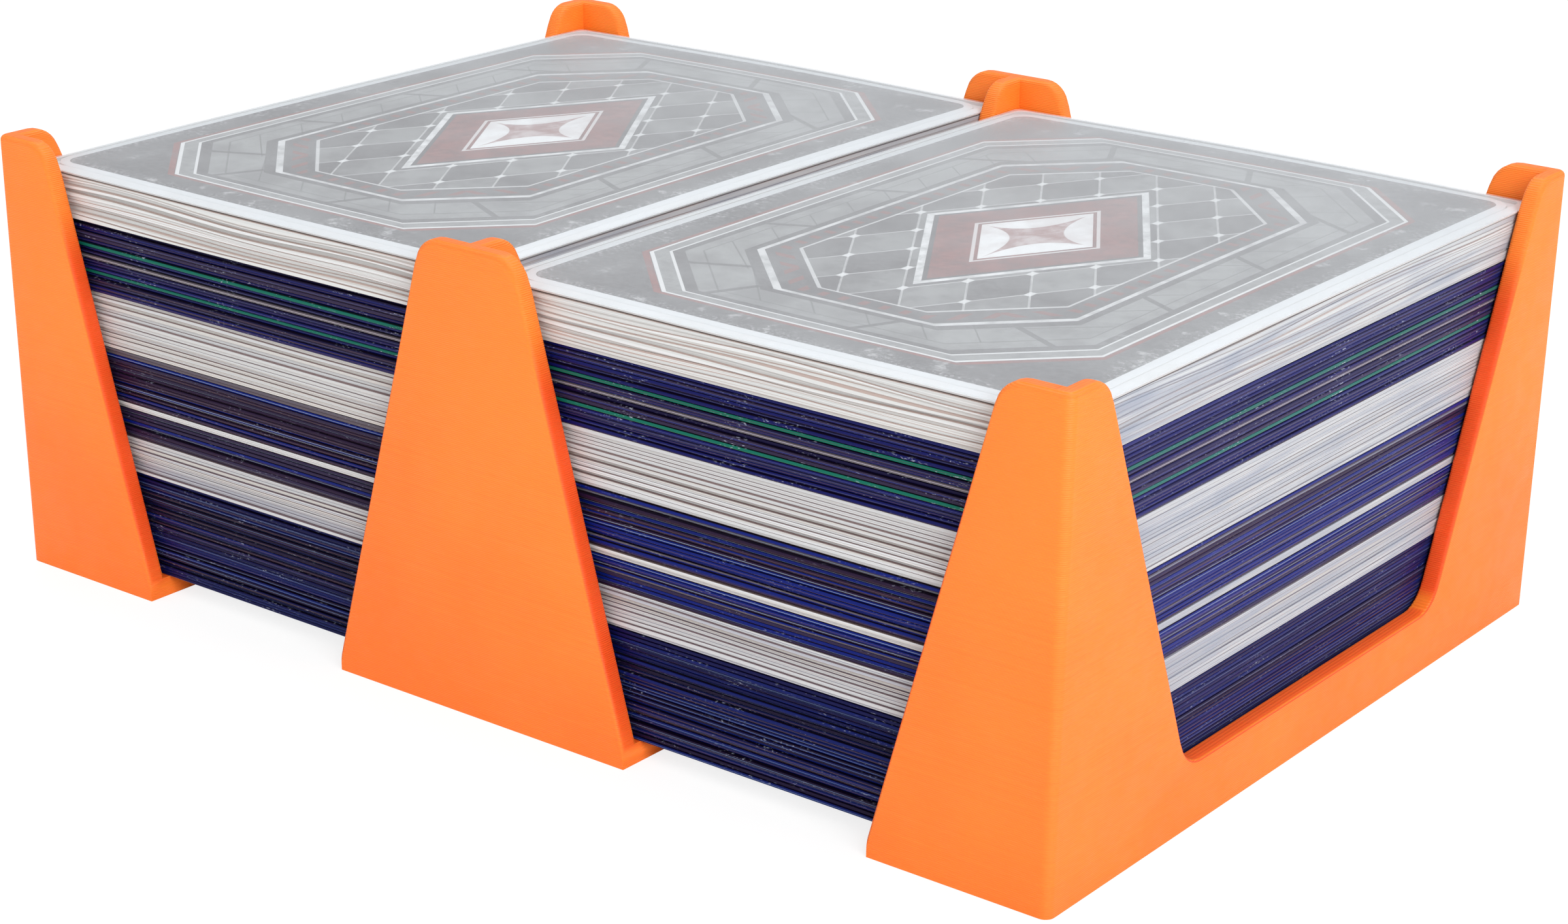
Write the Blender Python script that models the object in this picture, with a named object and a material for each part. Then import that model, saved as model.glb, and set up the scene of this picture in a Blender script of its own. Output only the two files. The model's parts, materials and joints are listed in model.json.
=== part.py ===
"""An open card tray, printed in one piece, with two decks of sleeved cards.

Metres, +Z up. The origin is under the middle of the tray, on the surface that
it stands on. X runs along the tray's long side, from deck to deck, and Y runs
along the cards' long side. Each deck lifts straight up out of its bay.
"""

import math
from collections import namedtuple

import bmesh
import bpy
from mathutils import Matrix, Vector

# A card
CARD_WIDTH = 0.0635
CARD_DEPTH = 0.0880
CARD_THICKNESS = 0.0003
CARD_CORNER_RADIUS = 0.0030

# The sleeve round each card: its film, its seams, how far its mouth runs past
# the card, and the play that the card has in it
SLEEVE_FILM = 0.0001
SLEEVE_SEAM = 0.00085
SLEEVE_MOUTH = 0.00175
CARD_PLAY = 0.00005
CARD_SIDE_PLAY = 0.0004

# Sleeved cards pressed together in a deck
SLEEVED_CARD_THICKNESS = 0.000392
SLEEVE_GROOVE = 0.00015
PACK_GAP = 0.00005

# Tray walls, how far its posts rise over the decks, and the cards' play in it
WALL = 0.0020
FLOOR = 0.0022
POST_RISE = 0.00298
SIDE_PLAY = 0.0002
END_PLAY = 0.0007
OUTER_CORNER_RADIUS = 0.0010

# Posts: how wide each leg is at its top and at its foot
CORNER_LEG_TOP = 0.0073
CORNER_LEG_FOOT = 0.0202
MIDDLE_POST_TOP = 0.0122
MIDDLE_POST_FOOT = 0.0390
END_LEG_TOP = 0.0060
END_LEG_FOOT = 0.0232
POST_TOP_RADIUS = 0.0030

# Low walls at the ends and between the bays
LOW_WALL_HEIGHT = 0.0067
LOW_WALL_FILLET = 0.0040

# Finger cut-outs in the floor, under the long sides
FINGER_DEPTH = 0.0220
FINGER_RADIUS = 0.0080

# How far a cutter runs past what it cuts, and how close points weld together
OVERRUN = 0.0020
WELD = 0.000002
ARC_STEPS = 6

# A deck from its bottom to its top, without its top card: each run of cards
# that lie together in one colour
Run = namedtuple("Run", "name card_count finish")
DECK_RUNS = (
    Run("blue_cards", card_count=29, finish="blue"),
    Run("white_cards_low", card_count=10, finish="white"),
    Run("dark_cards_low", card_count=8, finish="dark"),
    Run("white_cards_thin", card_count=2, finish="white"),
    Run("dark_cards_middle", card_count=15, finish="dark"),
    Run("white_cards_middle", card_count=15, finish="white"),
    Run("navy_cards_low", card_count=5, finish="navy"),
    Run("green_card_low", card_count=1, finish="green"),
    Run("navy_cards_middle", card_count=3, finish="navy"),
    Run("grey_card", card_count=1, finish="grey"),
    Run("navy_cards_high", card_count=2, finish="navy"),
    Run("green_card_high", card_count=1, finish="green"),
    Run("navy_cards_top", card_count=6, finish="navy"),
    Run("white_cards_top", card_count=12, finish="white"),
)

# Sizes that follow from the ones above
SLEEVE_WIDTH = CARD_WIDTH + 2 * (CARD_SIDE_PLAY + SLEEVE_SEAM)
SLEEVE_DEPTH = CARD_DEPTH + CARD_SIDE_PLAY + SLEEVE_SEAM + SLEEVE_MOUTH
SLOT_THICKNESS = CARD_THICKNESS + 2 * CARD_PLAY
TOP_SLEEVE_THICKNESS = SLOT_THICKNESS + 2 * SLEEVE_FILM
RUNS_HEIGHT = sum(run.card_count * SLEEVED_CARD_THICKNESS + PACK_GAP for run in DECK_RUNS)
DECK_HEIGHT = PACK_GAP + RUNS_HEIGHT + TOP_SLEEVE_THICKNESS
TRAY_HEIGHT = FLOOR + DECK_HEIGHT + POST_RISE
BAY_WIDTH = SLEEVE_WIDTH + 2 * SIDE_PLAY
BAY_DEPTH = SLEEVE_DEPTH + 2 * END_PLAY
TRAY_LENGTH = 2 * BAY_WIDTH + 3 * WALL
TRAY_DEPTH = BAY_DEPTH + 2 * WALL
HALF_LENGTH = TRAY_LENGTH / 2
HALF_DEPTH = TRAY_DEPTH / 2
BAY_CENTRE_X = (WALL + BAY_WIDTH) / 2

# Linear colour, roughness and metallic value of each finish
FINISHES = {
    "tray": ((1.0, 0.165, 0.02, 1.0), 0.45, 0.0),
    "blue": ((0.02, 0.03, 0.20, 1.0), 0.40, 0.0),
    "navy": ((0.03, 0.03, 0.12, 1.0), 0.40, 0.0),
    "dark": ((0.05, 0.045, 0.11, 1.0), 0.40, 0.0),
    "white": ((0.66, 0.64, 0.60, 1.0), 0.40, 0.0),
    "green": ((0.02, 0.30, 0.18, 1.0), 0.40, 0.0),
    "grey": ((0.45, 0.45, 0.47, 1.0), 0.40, 0.0),
    "sleeve": ((0.83, 0.86, 0.88, 1.0), 0.35, 0.0),
    "card": ((0.36, 0.38, 0.40, 1.0), 0.50, 0.0),
}


def clear_scene():
    """Removes what a new scene holds."""
    for obj in list(bpy.data.objects):
        bpy.data.objects.remove(obj, do_unlink=True)


def new_collection(name):
    collection = bpy.data.collections.new(name)
    bpy.context.scene.collection.children.link(collection)
    return collection


def new_material(name, finish):
    """A Principled BSDF material with one of the finishes above."""
    colour, roughness, metallic = FINISHES[finish]
    material = bpy.data.materials.new(name)
    material.use_nodes = True
    shader = material.node_tree.nodes["Principled BSDF"]
    shader.inputs["Base Color"].default_value = colour
    shader.inputs["Roughness"].default_value = roughness
    shader.inputs["Metallic"].default_value = metallic
    return material


def new_object(name, mesh, collection, location=(0, 0, 0)):
    obj = bpy.data.objects.new(name, mesh)
    obj.location = location
    collection.objects.link(obj)
    return obj


def mesh_from_bmesh(name, bm):
    bmesh.ops.recalc_face_normals(bm, faces=bm.faces)
    mesh = bpy.data.meshes.new(name)
    bm.to_mesh(mesh)
    bm.free()
    return mesh


def rounded_outline(corners):
    """Rounds each (x, y, radius) corner of a closed outline with an arc."""
    points = []
    for index, (x, y, radius) in enumerate(corners):
        corner = Vector((x, y))
        if radius == 0:
            points.append(corner)
            continue
        before = Vector(corners[index - 1][:2])
        after = Vector(corners[(index + 1) % len(corners)][:2])
        to_before = (before - corner).normalized()
        to_after = (after - corner).normalized()
        half_angle = to_before.angle(to_after) / 2
        centre = corner + (to_before + to_after).normalized() * radius / math.sin(half_angle)
        reach = radius / math.tan(half_angle)
        start = corner + to_before * reach - centre
        end = corner + to_after * reach - centre
        sweep = start.angle_signed(end)
        for step in range(ARC_STEPS + 1):
            turn = Matrix.Rotation(-sweep * step / ARC_STEPS, 2)
            points.append(centre + turn @ start)
    return points


def prism(name, points, thickness, rotation, collection, location=(0, 0, 0)):
    """A flat outline, filled and thickened, then turned and placed as a mesh."""
    curve = bpy.data.curves.new(name, "CURVE")
    curve.dimensions = "2D"
    curve.fill_mode = "BOTH"
    curve.extrude = thickness / 2
    spline = curve.splines.new("POLY")
    spline.points.add(len(points) - 1)
    for spline_point, (x, y) in zip(spline.points, points):
        spline_point.co = (x, y, 0, 1)
    spline.use_cyclic_u = True
    outline = new_object(name + "_outline", curve, collection)
    outline.rotation_euler = rotation
    outline.location = location
    bpy.context.view_layer.update()

    evaluated = outline.evaluated_get(bpy.context.evaluated_depsgraph_get())
    mesh = bpy.data.meshes.new_from_object(evaluated)
    bm = bmesh.new()
    bm.from_mesh(mesh)
    bmesh.ops.remove_doubles(bm, verts=bm.verts, dist=WELD)
    bmesh.ops.recalc_face_normals(bm, faces=bm.faces)
    bm.to_mesh(mesh)
    bm.free()
    mesh.name = name
    solid = new_object(name, mesh, collection)
    solid.matrix_world = outline.matrix_world
    bpy.data.objects.remove(outline, do_unlink=True)
    return solid


def box(name, low, high, collection):
    """A box between two opposite corners."""
    low = Vector(low)
    high = Vector(high)
    bm = bmesh.new()
    bmesh.ops.create_cube(bm, size=1)
    bmesh.ops.scale(bm, vec=high - low, verts=bm.verts)
    bmesh.ops.translate(bm, vec=(low + high) / 2, verts=bm.verts)
    return new_object(name, mesh_from_bmesh(name, bm), collection)


def cut(target, cutter):
    """Takes a cutter's shape out of a solid and hides the cutter."""
    cutter.hide_render = True
    cutter.display_type = "WIRE"
    modifier = target.modifiers.new(cutter.name, "BOOLEAN")
    modifier.operation = "DIFFERENCE"
    modifier.solver = "EXACT"
    modifier.object = cutter


def tray_block(collection):
    """The tray's outer block, with its upright corners rounded."""
    radius = OUTER_CORNER_RADIUS
    outline = rounded_outline([
        (-HALF_LENGTH, -HALF_DEPTH, radius),
        (HALF_LENGTH, -HALF_DEPTH, radius),
        (HALF_LENGTH, HALF_DEPTH, radius),
        (-HALF_LENGTH, HALF_DEPTH, radius),
    ])
    middle = (0, 0, TRAY_HEIGHT / 2)
    return prism("tray", outline, TRAY_HEIGHT, (0, 0, 0), collection, middle)


def bay_cutter(side, collection):
    """The space of one bay over the floor. side is -1 for left, 1 for right."""
    centre = side * BAY_CENTRE_X
    return box(
        "left_bay" if side < 0 else "right_bay",
        (centre - BAY_WIDTH / 2, -BAY_DEPTH / 2, FLOOR),
        (centre + BAY_WIDTH / 2, BAY_DEPTH / 2, TRAY_HEIGHT + OVERRUN),
        collection,
    )


def side_window_cutter(side, collection):
    """The gap between a corner post and a middle post, through both long sides.

    The posts lean away from it towards their tops, which round off into it.
    """
    inner_foot = MIDDLE_POST_FOOT / 2
    inner_top = MIDDLE_POST_TOP / 2
    outer_foot = HALF_LENGTH - CORNER_LEG_FOOT
    outer_top = HALF_LENGTH - CORNER_LEG_TOP
    flare = 2 * POST_TOP_RADIUS
    ceiling = TRAY_HEIGHT + OVERRUN
    outline = rounded_outline([
        (side * inner_foot, FLOOR, 0),
        (side * outer_foot, FLOOR, 0),
        (side * outer_top, TRAY_HEIGHT, POST_TOP_RADIUS),
        (side * outer_top + side * flare, TRAY_HEIGHT, 0),
        (side * outer_top + side * flare, ceiling, 0),
        (side * inner_top - side * flare, ceiling, 0),
        (side * inner_top - side * flare, TRAY_HEIGHT, 0),
        (side * inner_top, TRAY_HEIGHT, POST_TOP_RADIUS),
    ])
    name = "left_side_window" if side < 0 else "right_side_window"
    upright = (math.pi / 2, 0, 0)
    return prism(name, outline, TRAY_DEPTH + 2 * OVERRUN, upright, collection)


def end_window_cutter(collection):
    """The gap over the low walls, from one end of the tray to the other.

    It also shapes the ribs that the middle posts send in between the decks.
    """
    foot = HALF_DEPTH - END_LEG_FOOT
    top = HALF_DEPTH - END_LEG_TOP
    flare = 2 * POST_TOP_RADIUS
    ceiling = TRAY_HEIGHT + OVERRUN
    outline = rounded_outline([
        (-foot, LOW_WALL_HEIGHT, LOW_WALL_FILLET),
        (foot, LOW_WALL_HEIGHT, LOW_WALL_FILLET),
        (top, TRAY_HEIGHT, POST_TOP_RADIUS),
        (top + flare, TRAY_HEIGHT, 0),
        (top + flare, ceiling, 0),
        (-top - flare, ceiling, 0),
        (-top - flare, TRAY_HEIGHT, 0),
        (-top, TRAY_HEIGHT, POST_TOP_RADIUS),
    ])
    upright = (math.pi / 2, 0, math.pi / 2)
    return prism("end_window", outline, TRAY_LENGTH + 2 * OVERRUN, upright, collection)


def finger_cutter(side, end, collection):
    """A finger cut-out, in through one long side and the floor behind it."""
    inner = side * MIDDLE_POST_FOOT / 2
    outer = side * (HALF_LENGTH - CORNER_LEG_FOOT)
    mouth = end * (HALF_DEPTH + OVERRUN)
    depth = end * (HALF_DEPTH - FINGER_DEPTH)
    outline = rounded_outline([
        (inner, mouth, 0),
        (outer, mouth, 0),
        (outer, depth, FINGER_RADIUS),
        (inner, depth, FINGER_RADIUS),
    ])
    name = ("left" if side < 0 else "right") + ("_front" if end < 0 else "_back")
    thickness = 2 * (FLOOR + OVERRUN)
    return prism(name + "_finger_cutout", outline, thickness, (0, 0, 0), collection)


def make_tray(parts, cutters):
    """The printed tray: a block hollowed to its floor, posts and low walls."""
    tray = tray_block(parts)
    tray.data.materials.append(new_material("tray", "tray"))
    for side in (-1, 1):
        cut(tray, bay_cutter(side, cutters))
    for side in (-1, 1):
        cut(tray, side_window_cutter(side, cutters))
    cut(tray, end_window_cutter(cutters))
    for side in (-1, 1):
        for end in (-1, 1):
            cut(tray, finger_cutter(side, end, cutters))
    return tray


def set_width(verts, inset, height):
    """Gives four corner points a sleeve's outline, less an inset, at a height."""
    for vert in verts:
        vert.co.x = math.copysign(SLEEVE_WIDTH / 2 - inset, vert.co.x)
        vert.co.y = math.copysign(SLEEVE_DEPTH / 2 - inset, vert.co.y)
        vert.co.z = height


def card_run_mesh(name, card_count):
    """Sleeved cards lying on each other, with a groove between each two."""
    bm = bmesh.new()
    bmesh.ops.create_cube(bm, size=1)
    bottom = min(bm.faces, key=lambda face: face.calc_center_median().z)
    top = max(bm.faces, key=lambda face: face.calc_center_median().z)
    half = SLEEVED_CARD_THICKNESS / 2
    set_width(bottom.verts, SLEEVE_GROOVE, 0)
    set_width(top.verts, 0, half)
    for level in range(2, 2 * card_count + 1):
        top = bmesh.ops.extrude_discrete_faces(bm, faces=[top])["faces"][0]
        inset = SLEEVE_GROOVE if level % 2 == 0 else 0
        set_width(top.verts, inset, level * half)
    return mesh_from_bmesh(name, bm)


def make_top_sleeve(name, anchor, parts, cutters):
    """The top card's sleeve: two films joined on three edges, open at the back."""
    half_width = SLEEVE_WIDTH / 2
    half_depth = SLEEVE_DEPTH / 2
    sleeve = box(
        name,
        (-half_width, -half_depth, 0),
        (half_width, half_depth, TOP_SLEEVE_THICKNESS),
        parts,
    )
    slot = box(
        name + "_slot",
        (-half_width + SLEEVE_SEAM, -half_depth + SLEEVE_SEAM, SLEEVE_FILM),
        (half_width - SLEEVE_SEAM, half_depth + OVERRUN, SLEEVE_FILM + SLOT_THICKNESS),
        cutters,
    )
    cut(sleeve, slot)
    for obj in (sleeve, slot):
        obj.parent = anchor
    return sleeve


def make_top_card(name, anchor, parts):
    """The card inside the top sleeve, pushed in against the closed end."""
    half_width = CARD_WIDTH / 2
    half_depth = CARD_DEPTH / 2
    outline = rounded_outline([
        (-half_width, -half_depth, CARD_CORNER_RADIUS),
        (half_width, -half_depth, CARD_CORNER_RADIUS),
        (half_width, half_depth, CARD_CORNER_RADIUS),
        (-half_width, half_depth, CARD_CORNER_RADIUS),
    ])
    middle = -SLEEVE_DEPTH / 2 + SLEEVE_SEAM + CARD_SIDE_PLAY + half_depth
    seat = SLEEVE_FILM + CARD_PLAY + CARD_THICKNESS / 2
    card = prism(name, outline, CARD_THICKNESS, (0, 0, 0), parts, (0, middle, seat))
    card.parent = anchor
    return card


def new_anchor(name, parent, location, collection):
    """An empty that carries pieces; a deck's lies on the line it lifts along."""
    anchor = new_object(name, None, collection, location)
    anchor.parent = parent
    return anchor


def make_deck(side, base, parts, cutters):
    """One deck in its bay, from the floor up, ending with the sleeved top card."""
    side_name = "left" if side < 0 else "right"
    deck = new_anchor(side_name + "_deck", base, (side * BAY_CENTRE_X, 0, FLOOR), parts)
    height = PACK_GAP
    for run in DECK_RUNS:
        name = side_name + "_" + run.name
        cards = new_object(name, card_run_mesh(name, run.card_count), parts, (0, 0, height))
        cards.data.materials.append(new_material(name, run.finish))
        cards.parent = deck
        height += run.card_count * SLEEVED_CARD_THICKNESS + PACK_GAP

    top = new_anchor(side_name + "_top", deck, (0, 0, height), parts)
    sleeve = make_top_sleeve(side_name + "_top_sleeve", top, parts, cutters)
    sleeve.data.materials.append(new_material(sleeve.name, "sleeve"))
    card = make_top_card(side_name + "_top_card", top, parts)
    card.data.materials.append(new_material(card.name, "card"))


def main():
    clear_scene()
    parts = new_collection("card_tray")
    cutters = new_collection("cutters")
    base = new_anchor("tray_base", None, (0, 0, 0), parts)
    make_tray(parts, cutters)
    for side in (-1, 1):
        make_deck(side, base, parts, cutters)
    bpy.context.view_layer.update()


main()
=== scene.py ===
"""Looks for the card tray: printed orange plastic and two decks of sleeved cards.

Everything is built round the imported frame, in metres, +Z up. The tray's long
side runs along X, and the cards' long side along Y.
"""

import json
import math
import random

import bmesh
import bpy
import numpy as np
from mathutils import Matrix, Vector

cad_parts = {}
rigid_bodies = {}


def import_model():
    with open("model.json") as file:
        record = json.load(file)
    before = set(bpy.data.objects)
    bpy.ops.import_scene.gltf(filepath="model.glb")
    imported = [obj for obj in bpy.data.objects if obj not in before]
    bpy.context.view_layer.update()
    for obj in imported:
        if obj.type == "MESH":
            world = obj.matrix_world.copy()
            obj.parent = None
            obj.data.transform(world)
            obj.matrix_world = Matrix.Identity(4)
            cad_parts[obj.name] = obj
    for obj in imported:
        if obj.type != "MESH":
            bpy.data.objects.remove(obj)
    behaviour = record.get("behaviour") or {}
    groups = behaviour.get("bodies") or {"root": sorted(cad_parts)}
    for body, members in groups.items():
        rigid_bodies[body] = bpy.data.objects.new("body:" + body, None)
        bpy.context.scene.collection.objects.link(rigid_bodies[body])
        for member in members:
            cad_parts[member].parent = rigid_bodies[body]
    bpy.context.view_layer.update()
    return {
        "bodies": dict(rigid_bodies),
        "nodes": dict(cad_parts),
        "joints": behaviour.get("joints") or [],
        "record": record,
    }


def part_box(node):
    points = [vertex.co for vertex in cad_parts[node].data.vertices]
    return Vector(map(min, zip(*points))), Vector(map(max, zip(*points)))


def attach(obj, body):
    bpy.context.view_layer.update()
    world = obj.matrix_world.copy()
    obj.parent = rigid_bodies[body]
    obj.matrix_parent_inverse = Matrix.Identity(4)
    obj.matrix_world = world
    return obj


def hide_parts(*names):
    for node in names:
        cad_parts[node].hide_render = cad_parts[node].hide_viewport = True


# The photograph's camera, as fitted to the tray's corners in its pixels
PHOTO_WIDTH = 2400
PHOTO_HEIGHT = 1414
FOCAL_PIXELS = 4783.0
CENTRE_PIXEL = (1179.6, 890.0)
CAMERA_AZIMUTH = math.radians(37.818)
CAMERA_ELEVATION = math.radians(22.107)
CAMERA_ROLL = math.radians(0.523)
CAMERA_POSITION = (0.2013, -0.2590, 0.1331)
SENSOR_WIDTH = 36.0

# The tray
WALL = 0.002
LOW_WALL_TOP = 0.0067
POST_ROUND = 0.003
EDGE_RADIUS = 0.0006
LOW_EDGE_SHARE = 0.45
EDGE_SEGMENTS = 4
POST_CUTS = (0.0115, 0.0180, 0.0250, 0.0320, 0.0390)
REACH = 0.0001
LAYER = 0.0002
BEAD = 0.0004
# Heights over which the painted shade on cut faces and ledges fades out below the post tops
CUT_SHADE_FADE = (0.036, 0.044)
LEAST_EDGE_ANGLE = math.radians(25)
FLAT_ANGLE = math.radians(0.5)
TRAY_BUMP = 0.000014
SCATTER_WEIGHT = 0.25
SCATTER_SHARES = (1.0, 0.30, 0.08)
SCATTER_DEPTH = 0.0012
PLASTIC_IOR = 1.40

# Sleeved cards
SLEEVED_CARD = 0.000392
CARD_HALF_WIDTH = 0.03175
CARD_HALF_DEPTH = 0.0440
CARD_CORNER_RADIUS = 0.0030
CARD_BORDER = 0.0012
SLEEVE_CORNER_RADIUS = 0.0008
RIM = 0.0009
SEAM = 0.00125
FILM = 0.00006
SLACK_X = 0.00007
SLACK_Y = 0.00026
DECK_LEAN = 0.00010
CARD_TURN = math.radians(0.06)
DECK_WARP = 0.00034
LEAST_SHARE = 0.36
EDGE_STEPS = 20
CORNER_STEPS = 3
SEAM_AT_ENDS = 0.04
SAME_FACE = 0.6
SEAM_LIP = 0.00030
SEAM_NIP_LOW = 0.00003
SEAM_NIP_HIGH = 0.00002
EDGE_BUMP = 0.000012
FILM_BUMP = 0.000010
SLEEVE_IOR = 1.45
EDGE_SPECULAR = 0.12

# Angles in degrees over which an edge stays sharp in the shading
TRAY_SHARP = 32
RUN_SHARP = 50
SHEET_SHARP = 60

# A sleeve's edge: how far in as a share of its groove, at what share of its
# thickness, and what shows
EDGE_PROFILE = (
    (0.24, 0.035, "shade"),
    (0.08, 0.085, "low_line"),
    (0.02, 0.20, "lower"),
    (0.00, 0.42, "lower"),
    (0.00, 0.50, "core"),
    (0.00, 0.58, "upper"),
    (0.02, 0.80, "upper"),
    (0.08, 0.915, "high_line"),
    (0.24, 0.965, "shade"),
)

# Rings that close a sheet's face, as shares of its outline
FACE_SHARES = (0.94, 0.80, 0.62, 0.44, 0.26, 0.08)

# Linear colours
ORANGE = (1.0, 0.224, 0.022, 1.0)
ORANGE_DEEP = (1.0, 0.188, 0.017, 1.0)
# Darker red-orange painted as shade in the valleys between the beads
ORANGE_VALLEY_SHADE = (0.90, 0.10, 0.010, 1.0)
# Deeper red-orange painted as shade on slanted cut faces and low flat ledges
ORANGE_CUT_SHADE = (0.88, 0.070, 0.010, 1.0)
FILM_WHITE = (0.74, 0.77, 0.80, 1.0)
FILM_EDGE = (0.50, 0.50, 0.50, 1.0)
CARD_STOCK = (0.62, 0.61, 0.59, 1.0)
BORDER_WHITE = (0.72, 0.75, 0.78, 1.0)
DUST = (0.50, 0.54, 0.66, 1.0)
FLOOR_WHITE = (0.93, 0.93, 0.93, 1.0)

# What dims the sides of the cards that face the other deck
GAP_SHADE = (1.0, 0.93, 0.92)

# Each finish: its slot, its cards' colours with weights, the shade in its
# grooves and how deep they are, the thin lines that its sleeves show with
# their chances (card cores, and pale lines painted as highlights on the film
# edges), its haze at the side seams and that haze's colour (a pale frosted
# haze on the dark runs, a darker painted shade on the white runs), its dust,
# and how its cards wave and gape
FINISHES = {
    "blue": {
        "slot": "blue",
        "colours": (((0.003, 0.009, 0.095), 5), ((0.004, 0.005, 0.050), 4), ((0.009, 0.005, 0.024), 2)),
        "shade": (0.003, 0.001, 0.006),
        "groove": (0.00040, 0.00065),
        "lines_and_glints": (((0.150, 0.085, 0.078), 0.26), ((0.150, 0.230, 0.420), 0.28)),
        "haze": 0.05,
        "seam_haze_and_shade_colour": (0.20, 0.20, 0.60, 1.0),
        "dust": 0.50,
        "wave": 0.10,
        "gape": 0.10,
    },
    "navy": {
        "slot": "navy",
        "colours": (((0.004, 0.006, 0.085), 5), ((0.005, 0.003, 0.030), 3), ((0.026, 0.018, 0.048), 3)),
        "shade": (0.006, 0.003, 0.010),
        "groove": (0.00030, 0.00050),
        "lines_and_glints": (((0.105, 0.058, 0.055), 0.30), ((0.070, 0.085, 0.240), 0.25)),
        "haze": 0.07,
        "seam_haze_and_shade_colour": (0.20, 0.20, 0.58, 1.0),
        "dust": 0.60,
        "wave": 0.12,
        "gape": 0.10,
    },
    "dark": {
        "slot": "dark",
        "colours": (
            ((0.002, 0.010, 0.140), 4),
            ((0.016, 0.006, 0.026), 4),
            ((0.024, 0.016, 0.046), 3),
            ((0.105, 0.090, 0.110), 1),
        ),
        "shade": (0.006, 0.003, 0.010),
        "groove": (0.00030, 0.00050),
        "lines_and_glints": (((0.130, 0.075, 0.070), 0.34), ((0.330, 0.440, 0.560), 0.20)),
        "haze": 0.08,
        "seam_haze_and_shade_colour": (0.22, 0.22, 0.62, 1.0),
        "dust": 0.30,
        "wave": 0.14,
        "gape": 0.10,
    },
    "white": {
        "slot": "white",
        "colours": (
            ((0.56, 0.57, 0.575), 5),
            ((0.53, 0.52, 0.50), 3),
            ((0.62, 0.635, 0.645), 3),
        ),
        "shade": (0.23, 0.165, 0.16),
        "groove": (0.00004, 0.00017),
        "lines_and_glints": (((0.33, 0.26, 0.24), 0.35), ((0.68, 0.66, 0.60), 0.20)),
        # Painted shade: the white runs' side seams are mixed towards a darker blue-grey
        "haze": 0.62,
        "seam_haze_and_shade_colour": (0.33, 0.355, 0.42, 1.0),
        "dust": 0.0,
        "wave": 0.14,
        "gape": 0.08,
    },
    "striped_white": {
        "slot": "white",
        "colours": (((0.54, 0.55, 0.56), 5), ((0.52, 0.50, 0.47), 3), ((0.40, 0.41, 0.45), 2)),
        "shade": (0.16, 0.11, 0.12),
        "groove": (0.00006, 0.00022),
        "lines_and_glints": (((0.022, 0.024, 0.120), 0.30), ((0.33, 0.26, 0.24), 0.30)),
        "wave": 0.14,
        "gape": 0.10,
    },
    "soft_white": {
        "slot": "white",
        "colours": (((0.61, 0.62, 0.61), 5), ((0.55, 0.54, 0.52), 2), ((0.68, 0.69, 0.69), 4)),
        "shade": (0.46, 0.365, 0.33),
        "groove": (0.00001, 0.00007),
        "lines_and_glints": (((0.44, 0.37, 0.34), 0.24), ((0.72, 0.73, 0.73), 0.25)),
        "wave": 0.62,
        "gape": 0.42,
    },
    "green": {
        "slot": "green",
        "colours": (((0.004, 0.120, 0.082), 1),),
        "shade": (0.006, 0.012, 0.014),
        "groove": (0.00030, 0.00050),
        "lines_and_glints": (((0.070, 0.045, 0.035), 0.5),),
        "haze": 0.10,
        "seam_haze_and_shade_colour": (0.20, 0.30, 0.50, 1.0),
        "dust": 0.9,
        "wave": 0.0,
        "gape": 0.0,
    },
    "grey": {
        "slot": "grey",
        "colours": (((0.100, 0.082, 0.098), 1),),
        "shade": (0.03, 0.025, 0.03),
        "groove": (0.00030, 0.00050),
        "lines_and_glints": (((0.64, 0.62, 0.66), 1.0),),
        "haze": 0.10,
        "seam_haze_and_shade_colour": (0.22, 0.22, 0.50, 1.0),
        "dust": 0.5,
        "wave": 0.0,
        "gape": 0.0,
    },
}
RUN_FINISHES = {
    "blue_cards": "blue",
    "white_cards_low": "striped_white",
    "dark_cards_low": "dark",
    "white_cards_thin": "white",
    "dark_cards_middle": "dark",
    "white_cards_middle": "white",
    "navy_cards_low": "navy",
    "green_card_low": "green",
    "navy_cards_middle": "navy",
    "grey_card": "grey",
    "navy_cards_high": "navy",
    "green_card_high": "green",
    "navy_cards_top": "navy",
    "white_cards_top": "soft_white",
}
SEEDS = {"left": 11, "right": 23}

# Card backs: ground, panel, line and accent
GREY_BACK = {
    "ground": (0.085, 0.078, 0.088, 1.0),
    "panel": (0.37, 0.385, 0.39, 1.0),
    "line": (0.86, 0.88, 0.90, 1.0),
    "accent": (0.27, 0.075, 0.065, 1.0),
}
BLUE_BACK = {
    "ground": (0.012, 0.018, 0.110, 1.0),
    "panel": (0.060, 0.080, 0.240, 1.0),
    "line": (0.50, 0.56, 0.74, 1.0),
    "accent": (0.030, 0.020, 0.090, 1.0),
}
OUTER_FRAME = 0.0052
FRAME_WIDTH = 0.0014
BACK_CUT = 0.0095
PANEL_WIDTH = 0.0042
PANEL_LENGTH = 0.0087
CHECK = 0.0072
CHECK_SLOPE = 0.62
BADGE_HALF_WIDTH = 0.0135
BADGE_HALF_DEPTH = 0.0215
STAR_HALF_WIDTH = 0.0062
STAR_HALF_DEPTH = 0.0100
STAR_SOFTNESS = 0.03
PRINT_SOFTNESS = 0.00007
FRAME_OUTER_LINE = 0.00030
FRAME_INNER_LINE = 0.00022
RED_LINE_OFFSET = 0.00055
RED_LINE_WIDTH = 0.00050
PANEL_GAP = 0.0011
PANEL_JOINT = 0.00035
SCORE_AT = 0.30
SCORE_SPACING = 0.37
SCORE_WIDTH = 0.00014
SLANTED_SCORE_WIDTH = 0.00016
INNER_LINE_GAP = 0.0009
INNER_LINE_WIDTH = 0.00055
TICK_GAP = 0.0021
TICK_SPACING = 0.0012
TICK_WIDTH = 0.0008
TICK_LENGTH = 0.0012
FIELD_GAP = 0.0018
FIELD_LINE_WIDTH = 0.00028
LATTICE_WIDTH = 0.00020
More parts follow.
